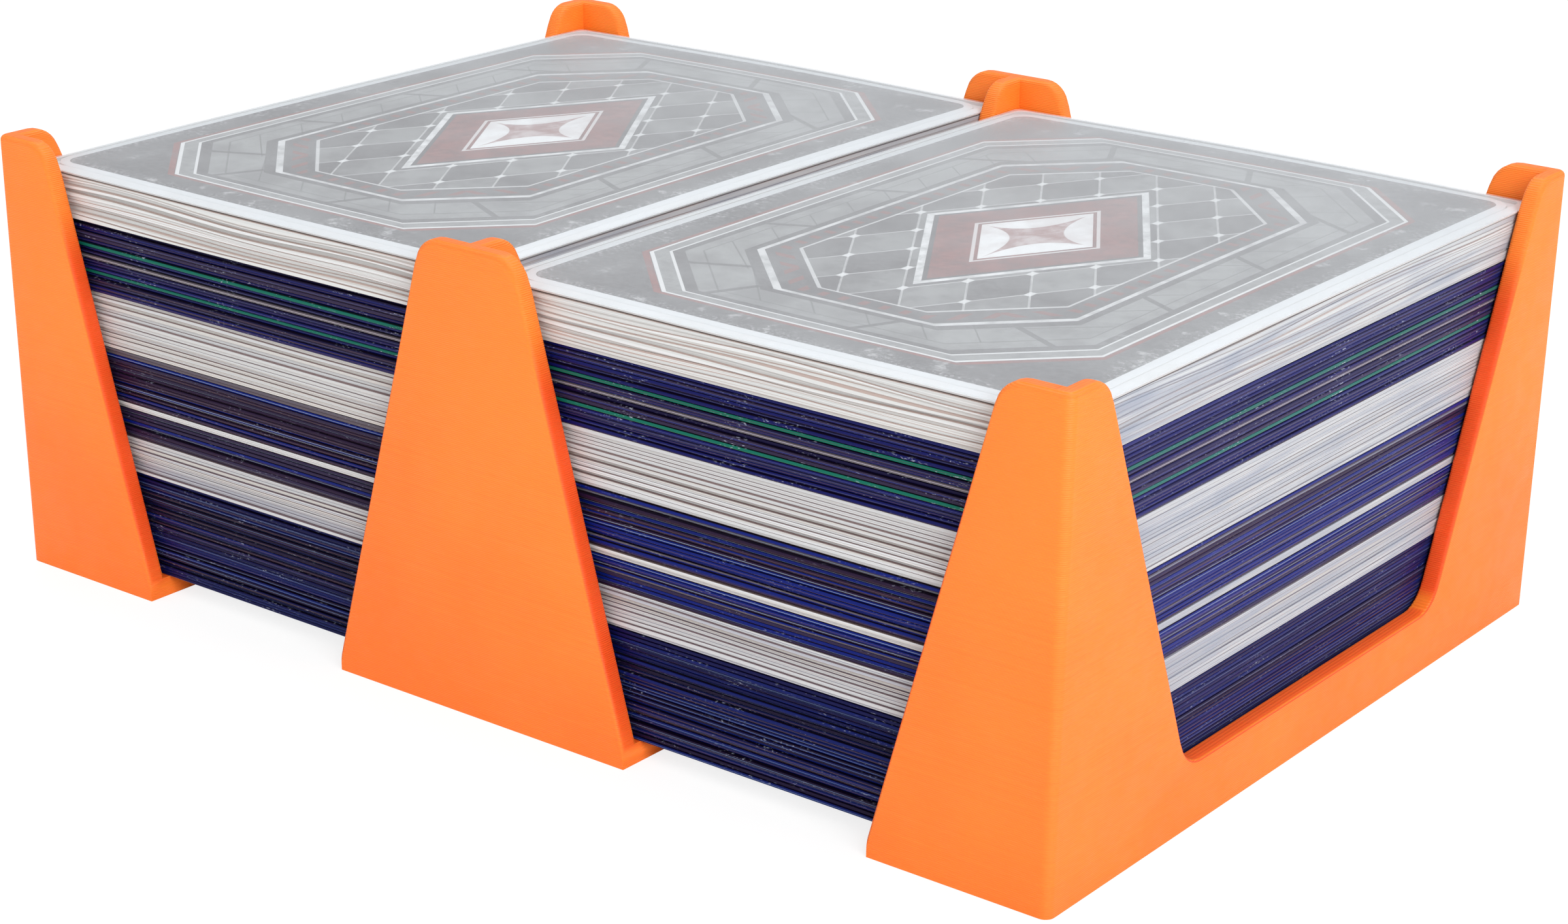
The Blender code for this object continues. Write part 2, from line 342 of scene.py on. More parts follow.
CROSSING_SIZE = 0.00075
BADGE_RIM = 0.00075
BADGE_RED_INSET = 0.00125
HEART_INSET = 0.0058
HEART_LINE_INSET = 0.0052
HEART_LINE_WIDTH = 0.00030
SCUFFS_FROM = 0.010
CHIPS_FROM = 0.0036

# The place round the object
WHITE = (1.0, 1.0, 1.0, 1.0)
FLOOR_SIZE = 3.0
FLOOR_SHADED = (0.24, 0.24, 0.24, 1.0)
FLOOR_GLOW = 0.80
WORLD_LIGHT = 0.62
WORLD_SEEN = 1.0
LIGHT_TARGET = (0, 0, 0.02)

# Soft boxes: name, position, size and power
SOFTBOXES = (
    ("right_softbox", (0.70, -0.40, 0.50), 0.5, 6.2),
    ("overhead_softbox", (-0.15, 0.35, 0.95), 0.8, 4.4),
    ("front_softbox", (-0.45, -0.85, 0.40), 0.6, 1.0),
)


class Formula:
    """Builds chains of nodes from sums on sockets and numbers."""

    def __init__(self, tree):
        self.tree = tree

    def set(self, socket, value):
        if isinstance(value, (int, float, tuple)):
            socket.default_value = value
        else:
            self.tree.links.new(value, socket)

    def math(self, operation, *values):
        node = self.tree.nodes.new("ShaderNodeMath")
        node.operation = operation
        for socket, value in zip(node.inputs, values):
            self.set(socket, value)
        return node.outputs[0]

    def absolute(self, a):
        return self.math("ABSOLUTE", a)

    def add(self, a, b):
        return self.math("ADD", a, b)

    def subtract(self, a, b):
        return self.math("SUBTRACT", a, b)

    def times(self, *values):
        result = values[0]
        for value in values[1:]:
            result = self.math("MULTIPLY", result, value)
        return result

    def invert(self, a):
        return self.math("SUBTRACT", 1.0, a)

    def largest(self, *values):
        result = values[0]
        for value in values[1:]:
            result = self.math("MAXIMUM", result, value)
        return result

    def fade(self, value, low, high, out_low=0.0, out_high=1.0):
        """A smooth step from one value to another."""
        node = self.tree.nodes.new("ShaderNodeMapRange")
        node.interpolation_type = "SMOOTHSTEP"
        self.set(node.inputs["Value"], value)
        node.inputs["From Min"].default_value = low
        node.inputs["From Max"].default_value = high
        node.inputs["To Min"].default_value = out_low
        node.inputs["To Max"].default_value = out_high
        return node.outputs["Result"]

    def stripe(self, distance, width, softness):
        """1 where a distance is within half a width of zero, else 0."""
        return self.fade(self.absolute(distance), width / 2, width / 2 + softness, 1.0, 0.0)

    def inside(self, distance, softness):
        """1 where a distance is below zero, else 0."""
        return self.fade(distance, 0.0, softness, 1.0, 0.0)

    def mix(self, factor, a, b):
        """Blends two colours, each a socket or a fixed colour."""
        node = self.tree.nodes.new("ShaderNodeMix")
        node.data_type = "RGBA"
        colours = [s for s in node.inputs if s.bl_idname == "NodeSocketColor"]
        self.set(node.inputs[0], factor)
        self.set(colours[0], a)
        self.set(colours[1], b)
        return next(s for s in node.outputs if s.bl_idname == "NodeSocketColor")

    def noise(self, vector, scale, detail=2.0, roughness=0.5):
        node = self.tree.nodes.new("ShaderNodeTexNoise")
        node.inputs["Scale"].default_value = scale
        node.inputs["Detail"].default_value = detail
        node.inputs["Roughness"].default_value = roughness
        self.set(node.inputs["Vector"], vector)
        return node.outputs["Fac"]

    def vector(self, x, y, z):
        node = self.tree.nodes.new("ShaderNodeCombineXYZ")
        for socket, value in zip(node.inputs, (x, y, z)):
            self.set(socket, value)
        return node.outputs[0]

    def split(self, vector):
        node = self.tree.nodes.new("ShaderNodeSeparateXYZ")
        self.set(node.inputs[0], vector)
        return node.outputs[0], node.outputs[1], node.outputs[2]

    def place(self):
        """The object's own coordinates."""
        return self.tree.nodes.new("ShaderNodeTexCoord").outputs["Object"]

    def normal(self):
        return self.tree.nodes.new("ShaderNodeNewGeometry").outputs["Normal"]

    def attribute(self, name, output):
        node = self.tree.nodes.new("ShaderNodeAttribute")
        node.attribute_name = name
        return node.outputs[output]

    def bump(self, height, distance, strength=1.0):
        node = self.tree.nodes.new("ShaderNodeBump")
        node.inputs["Strength"].default_value = strength
        node.inputs["Distance"].default_value = distance
        self.set(node.inputs["Height"], height)
        return node.outputs["Normal"]


def new_material(name):
    """A node material, with its tree as a Formula and its shader's sockets."""
    material = bpy.data.materials.new(name)
    material.use_nodes = True
    tree = material.node_tree
    return material, Formula(tree), tree.nodes["Principled BSDF"].inputs


def orange_plastic(half_length):
    """Printed plastic: fine layers up the walls, and beads on flat tops. Painted shade darkens the bead
    valleys, the slanted cut faces and the flat ledges below the post tops.
    """
    material, f, shader = new_material("orange_plastic")
    place = f.place()
    x, y, z = f.split(place)
    normal_z = f.absolute(f.split(f.normal())[2])
    flat = f.fade(normal_z, 0.93, 0.98)
    slope = f.times(f.fade(normal_z, 0.08, 0.35), f.invert(flat))

    turn = 2 * math.pi
    wander = f.times(f.noise(place, 300.0, 1.0), 0.30)
    layers = f.math("SINE", f.times(f.add(f.times(z, 1 / LAYER), wander), turn))
    walls = f.times(layers, f.fade(slope, 0.0, 1.0, 1.1, 2.6))

    end_wall = f.fade(f.absolute(x), half_length - WALL - REACH, half_length - WALL)
    middle_wall = f.fade(f.absolute(x), WALL / 2, WALL / 2 + REACH, 1.0, 0.0)
    along_y = f.largest(end_wall, middle_wall)
    on_bed = f.fade(z, LOW_WALL_TOP / 2, LOW_WALL_TOP / 2 + REACH, 1.0, 0.0)
    diagonal = f.times(f.add(x, y), math.sqrt(0.5))
    upright = f.add(f.times(x, along_y), f.times(y, f.invert(along_y)))
    across = f.add(f.times(diagonal, on_bed), f.times(upright, f.invert(on_bed)))
    beads = f.math("SINE", f.times(across, turn / BEAD))
    height = f.add(f.times(walls, f.invert(flat)), f.times(beads, flat, 0.8))
    f.set(shader["Normal"], f.bump(height, TRAY_BUMP, 0.8))

    clouds = f.noise(place, 45.0, 2.0)
    layer_tones = f.noise(f.vector(0.0, 0.0, z), 2500.0, 1.0)
    tone = f.add(f.times(clouds, 0.7), f.times(layer_tones, 0.3))
    body = f.mix(f.fade(f.add(tone, f.times(z, 6.0)), 0.42, 0.80), ORANGE_DEEP, ORANGE)
    # Painted shade: flat tops are darkened in the valleys between the beads
    valley_shade = f.times(f.fade(beads, -1.0, 0.0, 1.0, 0.45), flat, 0.55)
    # Painted shade: slanted cut faces and flat ledges below the post tops turn deeper red-orange
    below_tops = f.fade(z, CUT_SHADE_FADE[0], CUT_SHADE_FADE[1], 1.0, 0.0)
    cut = f.times(f.fade(normal_z, 0.06, 0.24), f.fade(normal_z, 0.50, 0.80, 1.0, 0.0), below_tops)
    shaded_ledges = f.times(flat, below_tops, 0.55)
    outside = f.mix(f.largest(f.times(cut, 0.85), shaded_ledges), body, ORANGE_CUT_SHADE)
    f.set(shader["Base Color"], f.mix(valley_shade, outside, ORANGE_VALLEY_SHADE))
    f.set(shader["Roughness"], f.fade(f.noise(place, 400.0), 0.2, 0.8, 0.44, 0.56))
    shader["Subsurface Weight"].default_value = SCATTER_WEIGHT
    shader["Subsurface Radius"].default_value = SCATTER_SHARES
    shader["Subsurface Scale"].default_value = SCATTER_DEPTH
    shader["IOR"].default_value = PLASTIC_IOR
    return material


def sleeve_edges(name, finish):
    """Cards in clear sleeves, seen at their edges. Each card has its own tint."""
    material, f, shader = new_material(name)
    place = f.place()
    x, y, z = f.split(place)
    tint = f.attribute("tint", "Color")
    seam = f.attribute("seam", "Fac")
    streaks = f.noise(f.vector(f.times(x, 0.10), f.times(y, 0.10), f.times(z, 3.0)), 500.0, 3.0)
    clouds = f.noise(place, 70.0, 2.0)
    soft = f.times(f.fade(streaks, 0.30, 0.70, 0.40, 1.50), f.fade(clouds, 0.30, 0.70, 0.75, 1.2))
    # Side seams are mixed towards the haze colour: a pale frosted haze on the dark runs, a darker painted
    # shade on the white runs
    colour = f.mix(f.times(seam, finish["haze"], soft), tint, finish["seam_haze_and_shade_colour"])
    if finish["dust"]:
        grains = f.noise(f.vector(f.times(x, 0.45), f.times(y, 0.45), f.times(z, 1.4)), 5200.0, 3.0, 0.6)
        patches = f.noise(f.vector(f.times(x, 0.6), f.times(y, 0.6), f.times(z, 9.0)), 260.0, 2.0)
        dust = f.times(f.fade(grains, 0.56, 0.70), f.fade(patches, 0.52, 0.66), finish["dust"])
        colour = f.mix(dust, colour, DUST)
    f.set(shader["Base Color"], colour)
    f.set(shader["Roughness"], f.fade(streaks, 0.3, 0.7, 0.26, 0.40))
    f.set(shader["Normal"], f.bump(streaks, EDGE_BUMP, 0.3))
    shader["IOR"].default_value = SLEEVE_IOR
    shader["Specular IOR Level"].default_value = EDGE_SPECULAR
    return material


def frosted_film():
    """The top sleeve's upper film: milky, matt and see-through, with a painted sheen that makes it more
    opaque towards the far end.
    """
    material, f, shader = new_material("frosted_film")
    place = f.place()
    cloud = f.noise(place, 90.0, 3.0)
    shader["Base Color"].default_value = FILM_WHITE
    f.set(shader["Roughness"], f.fade(cloud, 0.3, 0.7, 0.34, 0.42))
    f.set(shader["Normal"], f.bump(f.noise(place, 3200.0, 2.0), FILM_BUMP, 0.25))
    # Painted sheen: the film grows more opaque towards the far end (+Y)
    far_sheen = f.fade(f.split(place)[1], -CARD_HALF_DEPTH / 2, CARD_HALF_DEPTH, 0.0, 0.10)
    f.set(shader["Alpha"], f.add(f.fade(cloud, 0.2, 0.8, 0.155, 0.205), far_sheen))
    shader["IOR"].default_value = SLEEVE_IOR
    return material


def film_bed():
    """The top sleeve's lower film and its seams, white over what lies below."""
    material, f, shader = new_material("film_bed")
    cloud = f.noise(f.place(), 120.0, 3.0)
    up = f.fade(f.split(f.normal())[2], 0.15, 0.75)
    flat = f.mix(f.fade(cloud, 0.3, 0.7, 0.0, 0.25), FILM_WHITE, CARD_STOCK)
    f.set(shader["Base Color"], f.mix(up, FILM_EDGE, flat))
    f.set(shader["Roughness"], f.fade(cloud, 0.3, 0.7, 0.30, 0.42))
    shader["IOR"].default_value = SLEEVE_IOR
    return material


def card_back(name, colours, haze):
    """A plain card back: cut-cornered frames and a large lozenge on a check."""
    material, f, shader = new_material(name)
    place = f.place()
    x, y, _ = f.split(place)
    soft = PRINT_SOFTNESS
    ax = f.absolute(x)
    ay = f.absolute(y)
    from_side = f.subtract(ax, CARD_HALF_WIDTH)
    from_end = f.subtract(ay, CARD_HALF_DEPTH)
    edge = f.largest(from_side, from_end)
    slant = f.times(f.add(ax, ay), math.sqrt(0.5))

    def frame(inset, cut):
        """Distance out from a rectangle with cut corners."""
        corner = (CARD_HALF_WIDTH + CARD_HALF_DEPTH - 2 * inset - cut) * math.sqrt(0.5)
        return f.largest(f.add(edge, inset), f.subtract(slant, corner))

    def band(inset, width, cut, softness=soft):
        """1 between a frame and one a width further in."""
        outer = f.inside(frame(inset, cut), softness)
        inner = f.inside(frame(inset + width, cut), softness)
        return f.times(outer, f.invert(inner))

    def lozenge(half_width, half_depth):
        """Distance out from a lozenge in the middle."""
        reach = math.hypot(1 / half_width, 1 / half_depth)
        share = f.add(f.times(ax, 1 / half_width), f.times(ay, 1 / half_depth))
        return f.times(f.subtract(share, 1.0), 1 / reach)

    fine = f.noise(place, 1500.0, 3.0, 0.7)
    scuffs = f.noise(place, 260.0, 6.0, 0.72)
    chips = f.noise(place, 2600.0, 4.0, 0.75)
    clouds = f.noise(place, 42.0, 4.0, 0.6)
    shade = f.fade(f.add(f.times(clouds, 0.5), f.times(scuffs, 0.5)), 0.36, 0.62)
    long_side = f.fade(f.subtract(from_side, from_end), -soft, soft)
    along = f.add(f.times(y, long_side), f.times(x, f.invert(long_side)))

    silver = band(OUTER_FRAME, FRAME_WIDTH, BACK_CUT)
    silver_lines = f.largest(
        band(OUTER_FRAME, FRAME_OUTER_LINE, BACK_CUT),
        band(OUTER_FRAME + FRAME_WIDTH, FRAME_INNER_LINE, BACK_CUT),
    )
    red_line = band(OUTER_FRAME - RED_LINE_OFFSET, RED_LINE_WIDTH, BACK_CUT)
    panel_from = OUTER_FRAME + FRAME_WIDTH + PANEL_GAP
    to_joint = f.math("PINGPONG", f.add(along, f.times(edge, 0.5)), PANEL_LENGTH)
    panels = f.times(
        band(panel_from, PANEL_WIDTH, BACK_CUT),
        f.fade(to_joint, PANEL_JOINT, PANEL_JOINT + soft),
    )
    score_from = panel_from + PANEL_WIDTH * SCORE_AT
    to_score = f.math("PINGPONG", f.subtract(along, f.times(edge, 0.9)), PANEL_LENGTH * SCORE_SPACING)
    scores = f.largest(
        band(score_from, SCORE_WIDTH, BACK_CUT),
        f.times(f.stripe(to_score, SLANTED_SCORE_WIDTH, soft), band(score_from, PANEL_WIDTH, BACK_CUT)),
    )
    inner_line = band(panel_from + PANEL_WIDTH + INNER_LINE_GAP, INNER_LINE_WIDTH, BACK_CUT)
    tick_from = panel_from + PANEL_WIDTH + TICK_GAP
    ticks = f.times(
        f.stripe(f.math("PINGPONG", along, TICK_SPACING), TICK_WIDTH, soft),
        band(tick_from, TICK_LENGTH, BACK_CUT),
    )
    field = f.inside(frame(tick_from + FIELD_GAP, BACK_CUT), soft)
    field_line = band(tick_from + FIELD_GAP, FIELD_LINE_WIDTH, BACK_CUT)

    rising = f.times(f.add(x, f.times(y, CHECK_SLOPE)), 1 / CHECK)
    falling = f.times(f.subtract(x, f.times(y, CHECK_SLOPE)), 1 / CHECK)
    parity = f.times(f.math("SINE", f.times(rising, math.pi)), f.math("SINE", f.times(falling, math.pi)))
    checks = f.times(f.fade(parity, -0.03, 0.03), field)
    to_rising = f.times(f.math("PINGPONG", rising, 0.5), CHECK)
    to_falling = f.times(f.math("PINGPONG", falling, 0.5), CHECK)
    rising_lines = f.stripe(to_rising, LATTICE_WIDTH, soft)
    falling_lines = f.stripe(to_falling, LATTICE_WIDTH, soft)
    lattice = f.times(f.largest(rising_lines, falling_lines), field)
    to_crossing = f.subtract(f.add(to_rising, to_falling), CROSSING_SIZE)
    crossings = f.times(f.inside(to_crossing, soft), field)

    badge = lozenge(BADGE_HALF_WIDTH, BADGE_HALF_DEPTH)
    badge_all = f.inside(badge, soft)
    badge_rim = f.times(badge_all, f.invert(f.inside(f.add(badge, BADGE_RIM), soft)))
    badge_red = f.inside(f.add(badge, BADGE_RED_INSET), soft)
    badge_heart = f.inside(f.add(badge, HEART_INSET), soft)
    heart_line = f.stripe(f.add(badge, HEART_LINE_INSET), HEART_LINE_WIDTH, soft)
    star_share = f.add(
        f.math("SQRT", f.times(ax, 1 / STAR_HALF_WIDTH)),
        f.math("SQRT", f.times(ay, 1 / STAR_HALF_DEPTH)),
    )
    star = f.fade(star_share, 1.0, 1.0 + STAR_SOFTNESS, 1.0, 0.0)

    ground, panel, line, accent = (colours[key] for key in ("ground", "panel", "line", "accent"))
    dark = f.mix(f.add(f.times(shade, 0.30), f.fade(fine, 0.35, 0.65, -0.04, 0.08)), ground, panel)
    worn = f.fade(scuffs, 0.38, 0.64, 1.0, 0.55)
    grain = f.fade(fine, 0.35, 0.65, 1.0, 0.82)
    layers = (
        (f.times(red_line, worn), accent),
        (f.times(silver, worn, 0.80), panel),
        (f.times(silver_lines, 0.85), line),
        (f.times(panels, f.fade(shade, 0.0, 1.0, 0.45, 0.85), grain), panel),
        (f.times(scores, 0.55), ground),
        (f.times(inner_line, worn, 0.80), line),
        (f.times(ticks, 0.65), accent),
        (f.times(checks, f.fade(shade, 0.0, 1.0, 0.20, 0.55)), panel),
        (f.times(lattice, worn, 0.50), line),
        (f.times(crossings, 0.70), line),
        (f.times(field_line, 0.60), line),
        (f.times(badge_all, 0.9), ground),
        (f.times(badge_rim, worn, 0.95), line),
        (f.times(badge_red, f.fade(scuffs, 0.34, 0.68, 0.95, 0.45)), accent),
        (f.times(heart_line, 0.7), line),
        (f.times(badge_heart, f.fade(shade, 0.0, 1.0, 0.75, 1.0)), line),
        (f.times(star, worn, 0.85), accent),
        (f.times(f.fade(scuffs, 0.56, 0.68), f.fade(edge, -SCUFFS_FROM, -CARD_BORDER), 0.45), line),
        (f.times(f.fade(chips, 0.50, 0.66), f.fade(edge, -CHIPS_FROM, -CARD_BORDER), 0.42), line),
    )
    colour = dark
    for share, top in layers:
        colour = f.mix(share, colour, top)
    corner_x = f.largest(f.subtract(ax, CARD_HALF_WIDTH - CARD_CORNER_RADIUS), 0.0)
    corner_y = f.largest(f.subtract(ay, CARD_HALF_DEPTH - CARD_CORNER_RADIUS), 0.0)
    corner = f.math("SQRT", f.add(f.times(corner_x, corner_x), f.times(corner_y, corner_y)))
    printed = f.inside(f.subtract(corner, CARD_CORNER_RADIUS - CARD_BORDER), soft)
    colour = f.mix(printed, BORDER_WHITE, colour)
    if haze:
        on_card = f.inside(f.subtract(corner, CARD_CORNER_RADIUS), soft)
        hazed = f.mix(f.fade(clouds, 0.3, 0.7, haze - 0.04, haze + 0.04), colour, FILM_WHITE)
        colour = f.mix(on_card, FILM_WHITE, hazed)
    else:
        up = f.fade(f.split(f.normal())[2], 0.5, 0.6)
        colour = f.mix(up, CARD_STOCK, colour)
    f.set(shader["Base Color"], colour)
    f.set(shader["Roughness"], f.fade(scuffs, 0.3, 0.7, 0.38, 0.58))
    shader["IOR"].default_value = SLEEVE_IOR
    return material


def add_piece(name, mesh, materials, location=(0, 0, 0)):
    piece = bpy.data.objects.new(name, mesh)
    piece.location = location
    bpy.context.scene.collection.objects.link(piece)
    for material in materials:
        mesh.materials.append(material)
    return piece


def smooth(mesh, angle):
    mesh.shade_smooth()
    mesh.set_sharp_from_angle(angle=math.radians(angle))


def edge_weight(edge, high, half_length, half_width, floor_top):
    """How much of the full radius an edge of the tray is rounded to."""
    if len(edge.link_faces) != 2 or not edge.is_convex or edge.calc_face_angle() < LEAST_EDGE_ANGLE:
        return 0.0
    ends = [vert.co for vert in edge.verts]
    if min(end.z for end in ends) < floor_top - WALL / 2 or max(end.z for end in ends) < floor_top + REACH:
        return 0.0
    middle = (ends[0].z + ends[1].z) / 2
    outside = all(abs(end.x) > half_length - REACH or abs(end.y) > half_width - REACH for end in ends)
    ramp_low = LOW_WALL_TOP if outside else high - POST_ROUND
    ramp = (middle - ramp_low) / (high - POST_ROUND / 2 - ramp_low)
    return LOW_EDGE_SHARE + (1 - LOW_EDGE_SHARE) * min(max(ramp, 0.0), 1.0)


def make_tray(frame, material, floor_top):
    """The printed tray, with its post edges and wall tops rounded over."""
    _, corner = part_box("tray")
    bm = bmesh.new()
    bm.from_mesh(frame["nodes"]["tray"].data)
    bmesh.ops.remove_doubles(bm, verts=bm.verts, dist=REACH / 100)
    bmesh.ops.dissolve_limit(bm, angle_limit=FLAT_ANGLE, verts=bm.verts, edges=bm.edges)
    for height in POST_CUTS:
        bmesh.ops.bisect_plane(
            bm, geom=bm.verts[:] + bm.edges[:] + bm.faces[:], plane_co=(0, 0, height), plane_no=(0, 0, 1)
        )
    weights = bm.edges.layers.float.new("bevel_weight_edge")
    for edge in bm.edges:
        edge[weights] = edge_weight(edge, corner.z, corner.x, corner.y, floor_top)
    mesh = bpy.data.meshes.new("printed_tray")
    bm.to_mesh(mesh)
    bm.free()
    tray = add_piece("printed_tray", mesh, [material])
    bevel = tray.modifiers.new("edges", "BEVEL")
    bevel.limit_method = "WEIGHT"
    bevel.width = EDGE_RADIUS
    bevel.segments = EDGE_SEGMENTS
    bevel.use_clamp_overlap = False
    bpy.context.view_layer.update()
    rounded = bpy.data.meshes.new_from_object(
        tray.evaluated_get(bpy.context.evaluated_depsgraph_get())
    )
    tray.modifiers.clear()
    tray.data = rounded
    smooth(rounded, TRAY_SHARP)
    return tray


def outline(half_width, half_depth, radius):
    """Points round a rectangle with round corners, evenly spaced on its sides."""
    corners = ((1, -1, -0.5), (1, 1, 0.0), (-1, 1, 0.5), (-1, -1, 1.0))
    arcs = []
    for sign_x, sign_y, start in corners:
        centre = np.array([sign_x * (half_width - radius), sign_y * (half_depth - radius)])
        angles = math.pi * (start + 0.5 * np.arange(CORNER_STEPS + 1) / CORNER_STEPS)
        arcs.append(centre + radius * np.stack([np.cos(angles), np.sin(angles)], 1))
    points = []
    for arc, following in zip(arcs, arcs[1:] + arcs[:1]):
        points.append(arc)
        shares = (np.arange(1, EDGE_STEPS) / EDGE_STEPS)[:, None]
        points.append(arc[-1] * (1 - shares) + following[0] * shares)
    return np.concatenate(points)


def deck_warp(points, level):
    """How far a deck's cards rise or sag at some points, more towards its top."""
    x = points[:, 0] / CARD_HALF_WIDTH
    y = points[:, 1] / CARD_HALF_DEPTH
    wave = 0.55 * np.sin(2.3 * y + 0.8) * np.cos(1.7 * x - 0.4) + 0.45 * np.sin(2.9 * x + 1.3 * y)
    return DECK_WARP * level ** 2 * 0.5 * (wave - x ** 2 * y ** 2)


def build_rings(rings):
    """Vertices and faces of a closed solid from rings of equal counts."""
    count = len(rings[0])
    verts = np.concatenate(rings)
    first = np.arange(count)
    after = (first + 1) % count
    quads = [
        np.stack([first, after, after + count, first + count], 1) + level * count
        for level in range(len(rings) - 1)
    ]
    faces = np.concatenate(quads).tolist()
    faces.append(list(range(count - 1, -1, -1)))
    faces.append(list(range(len(verts) - count, len(verts))))
    return verts, faces


def raised(points, heights, deck, z):
    """Points with heights, lifted by the deck's warp at the height z."""
    level = (z + heights - deck[0]) / (deck[1] - deck[0])
    return np.column_stack([points, heights + deck_warp(points, level)])


def face_rings(points, height, deck, z):
    """Rings that close a sheet's face, from the outside in."""
    return [
        raised(points * share, np.full(len(points), height), deck, z) for share in FACE_SHARES
    ]


def waves(rng, span, low, high):
    """A smooth random wave round an outline, between about -1 and 1."""
    total = np.zeros(len(span))
    for _ in range(3):
        size = rng.uniform(0.3, 1.0)
        count = rng.randint(low, high)
        total += size * np.sin(count * span + rng.uniform(0, 2 * math.pi))
    return total / 2


def thin_line(finish, plain, rng):
    """A thin line's colour: one of the finish's lines, else the plain colour. The finishes' pale lines are
    painted highlights on the film edges; the darker ones are card edges and cores.
    """
    chance = rng.random()
    for colour, share in finish["lines_and_glints"]:
        if chance < share:
            return np.array(colour)
        chance -= share
    return plain


def pick(finish, rng):
    """The colours of a card's edge, from its lower film to its upper one."""
    colours = [colour for colour, weight in finish["colours"] for _ in range(weight)]
    lower = np.array(rng.choice(colours)) * rng.uniform(0.90, 1.10)
    upper = lower if rng.random() < SAME_FACE else np.array(rng.choice(colours))
    return {
        "shade": np.array(finish["shade"]),
        "low_line": thin_line(finish, lower, rng),
        "lower": lower,
        "core": thin_line(finish, lower, rng),
        "upper": upper,
        "high_line": upper,
    }


def make_run(side, run, deck, materials, rng):
    """One run of sleeved cards as one closed piece with a groove between cards."""
    low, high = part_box(f"{side}_{run}")
    centre = (low + high) / 2
    half_width = (high.x - low.x) / 2
    half_depth = (high.y - low.y) / 2
    count = max(1, round((high.z - low.z) / SLEEVED_CARD))
    finish = FINISHES[RUN_FINISHES[run]]
    pitch = (high.z - low.z) / count
    least = pitch * LEAST_SHARE
    lean = -DECK_LEAN if side == "right" else DECK_LEAN

    base = outline(half_width, half_depth, SLEEVE_CORNER_RADIUS)
    span = np.arange(len(base)) / len(base) * 2 * math.pi
    on_side = np.clip((np.abs(base[:, 0]) - half_width) / SLEEVE_CORNER_RADIUS + 1, 0, 1)
    inward = on_side * (base[:, 0] * centre.x < 0)
    dim = 1 - inward[:, None] * (1 - np.array(GAP_SHADE))
    rim = outline(half_width - RIM, half_depth - RIM, SLEEVE_CORNER_RADIUS)
    bottom, top = low.z - centre.z, high.z - centre.z
    boundary = np.full(len(base), bottom)
    wave = np.zeros(len(base))

    start = face_rings(rim, bottom, deck, centre.z)[::-1] + [raised(rim, boundary, deck, centre.z)]
    rings, tints = list(start), [np.tile(finish["shade"], (len(base), 1))] * len(start)
    for card in range(count):
        colours = pick(finish, rng)
        turn = rng.uniform(-CARD_TURN, CARD_TURN)
        shift = np.array([lean + rng.uniform(-SLACK_X, SLACK_X), rng.uniform(-SLACK_Y, SLACK_Y)])
        wave = 0.7 * wave + waves(rng, span, 2, 9)
        rising = card < count - 1
        following = bottom + pitch * (card + 1) + wave * pitch * finish["wave"] * rising
        following = np.maximum(following, boundary + least)
        following = np.minimum(following, top - least * (count - card - 1))
        opening = np.clip(waves(rng, span, 1, 5), 0, 1) * finish["gape"]
        depth = rng.uniform(*finish["groove"])
        for inset_share, share, part in EDGE_PROFILE:
            inset = inset_share * depth
            points = outline(half_width - inset, half_depth - inset, SLEEVE_CORNER_RADIUS)
            points = points + np.stack([-points[:, 1], points[:, 0]], 1) * turn + shift
            points[:, 0] = np.clip(points[:, 0], -half_width - SLACK_X, half_width + SLACK_X)
            heights = boundary + (following - boundary) * share * (1 - opening)
            rings.append(raised(points, heights, deck, centre.z))
            tints.append(colours[part] * dim)
        if card < count - 1:
            groove = outline(half_width - depth, half_depth - depth, SLEEVE_CORNER_RADIUS)
            rings.append(raised(groove, following, deck, centre.z))
            tints.append(np.tile(colours["shade"], (len(base), 1)))
        boundary = following
    rings.append(raised(rim, boundary, deck, centre.z))
    tints.append(np.tile(finish["shade"], (len(base), 1)))
    end = face_rings(rim, top, deck, centre.z)
    rings += end
    tints += [np.tile(finish["shade"], (len(base), 1))] * len(end)

    verts, faces = build_rings(rings)
    mesh = bpy.data.meshes.new(f"{side}_{run}_sleeved")
    mesh.from_pydata(verts, [], faces)
    colours = np.column_stack([np.concatenate(tints), np.ones(len(verts))])
    mesh.attributes.new("tint", "FLOAT_COLOR", "POINT").data.foreach_set("color", colours.ravel())
    # Haze weight: full on the long sides, small at the ends; on the white runs it places painted shade
    seam = np.tile(SEAM_AT_ENDS + (1 - SEAM_AT_ENDS) * on_side, len(rings))
    mesh.attributes.new("seam", "FLOAT", "POINT").data.foreach_set("value", seam)
    piece = add_piece(mesh.name, mesh, materials, (centre.x, centre.y, centre.z))
    per_ring = len(base)
    face_quads = per_ring * len(start[1:])
    cap = np.zeros(len(faces), dtype=np.int32)
    cap[:face_quads] = 1
    cap[-2 - per_ring * len(end):] = 1
    mesh.polygons.foreach_set("material_index", cap)
    smooth(mesh, RUN_SHARP)
    return piece


def make_sheet(name, rings, material, location):
    verts, faces = build_rings(rings)
    mesh = bpy.data.meshes.new(name)
    mesh.from_pydata(verts, [], faces)
    piece = add_piece(name, mesh, [material], location)
    smooth(mesh, SHEET_SHARP)
    return piece


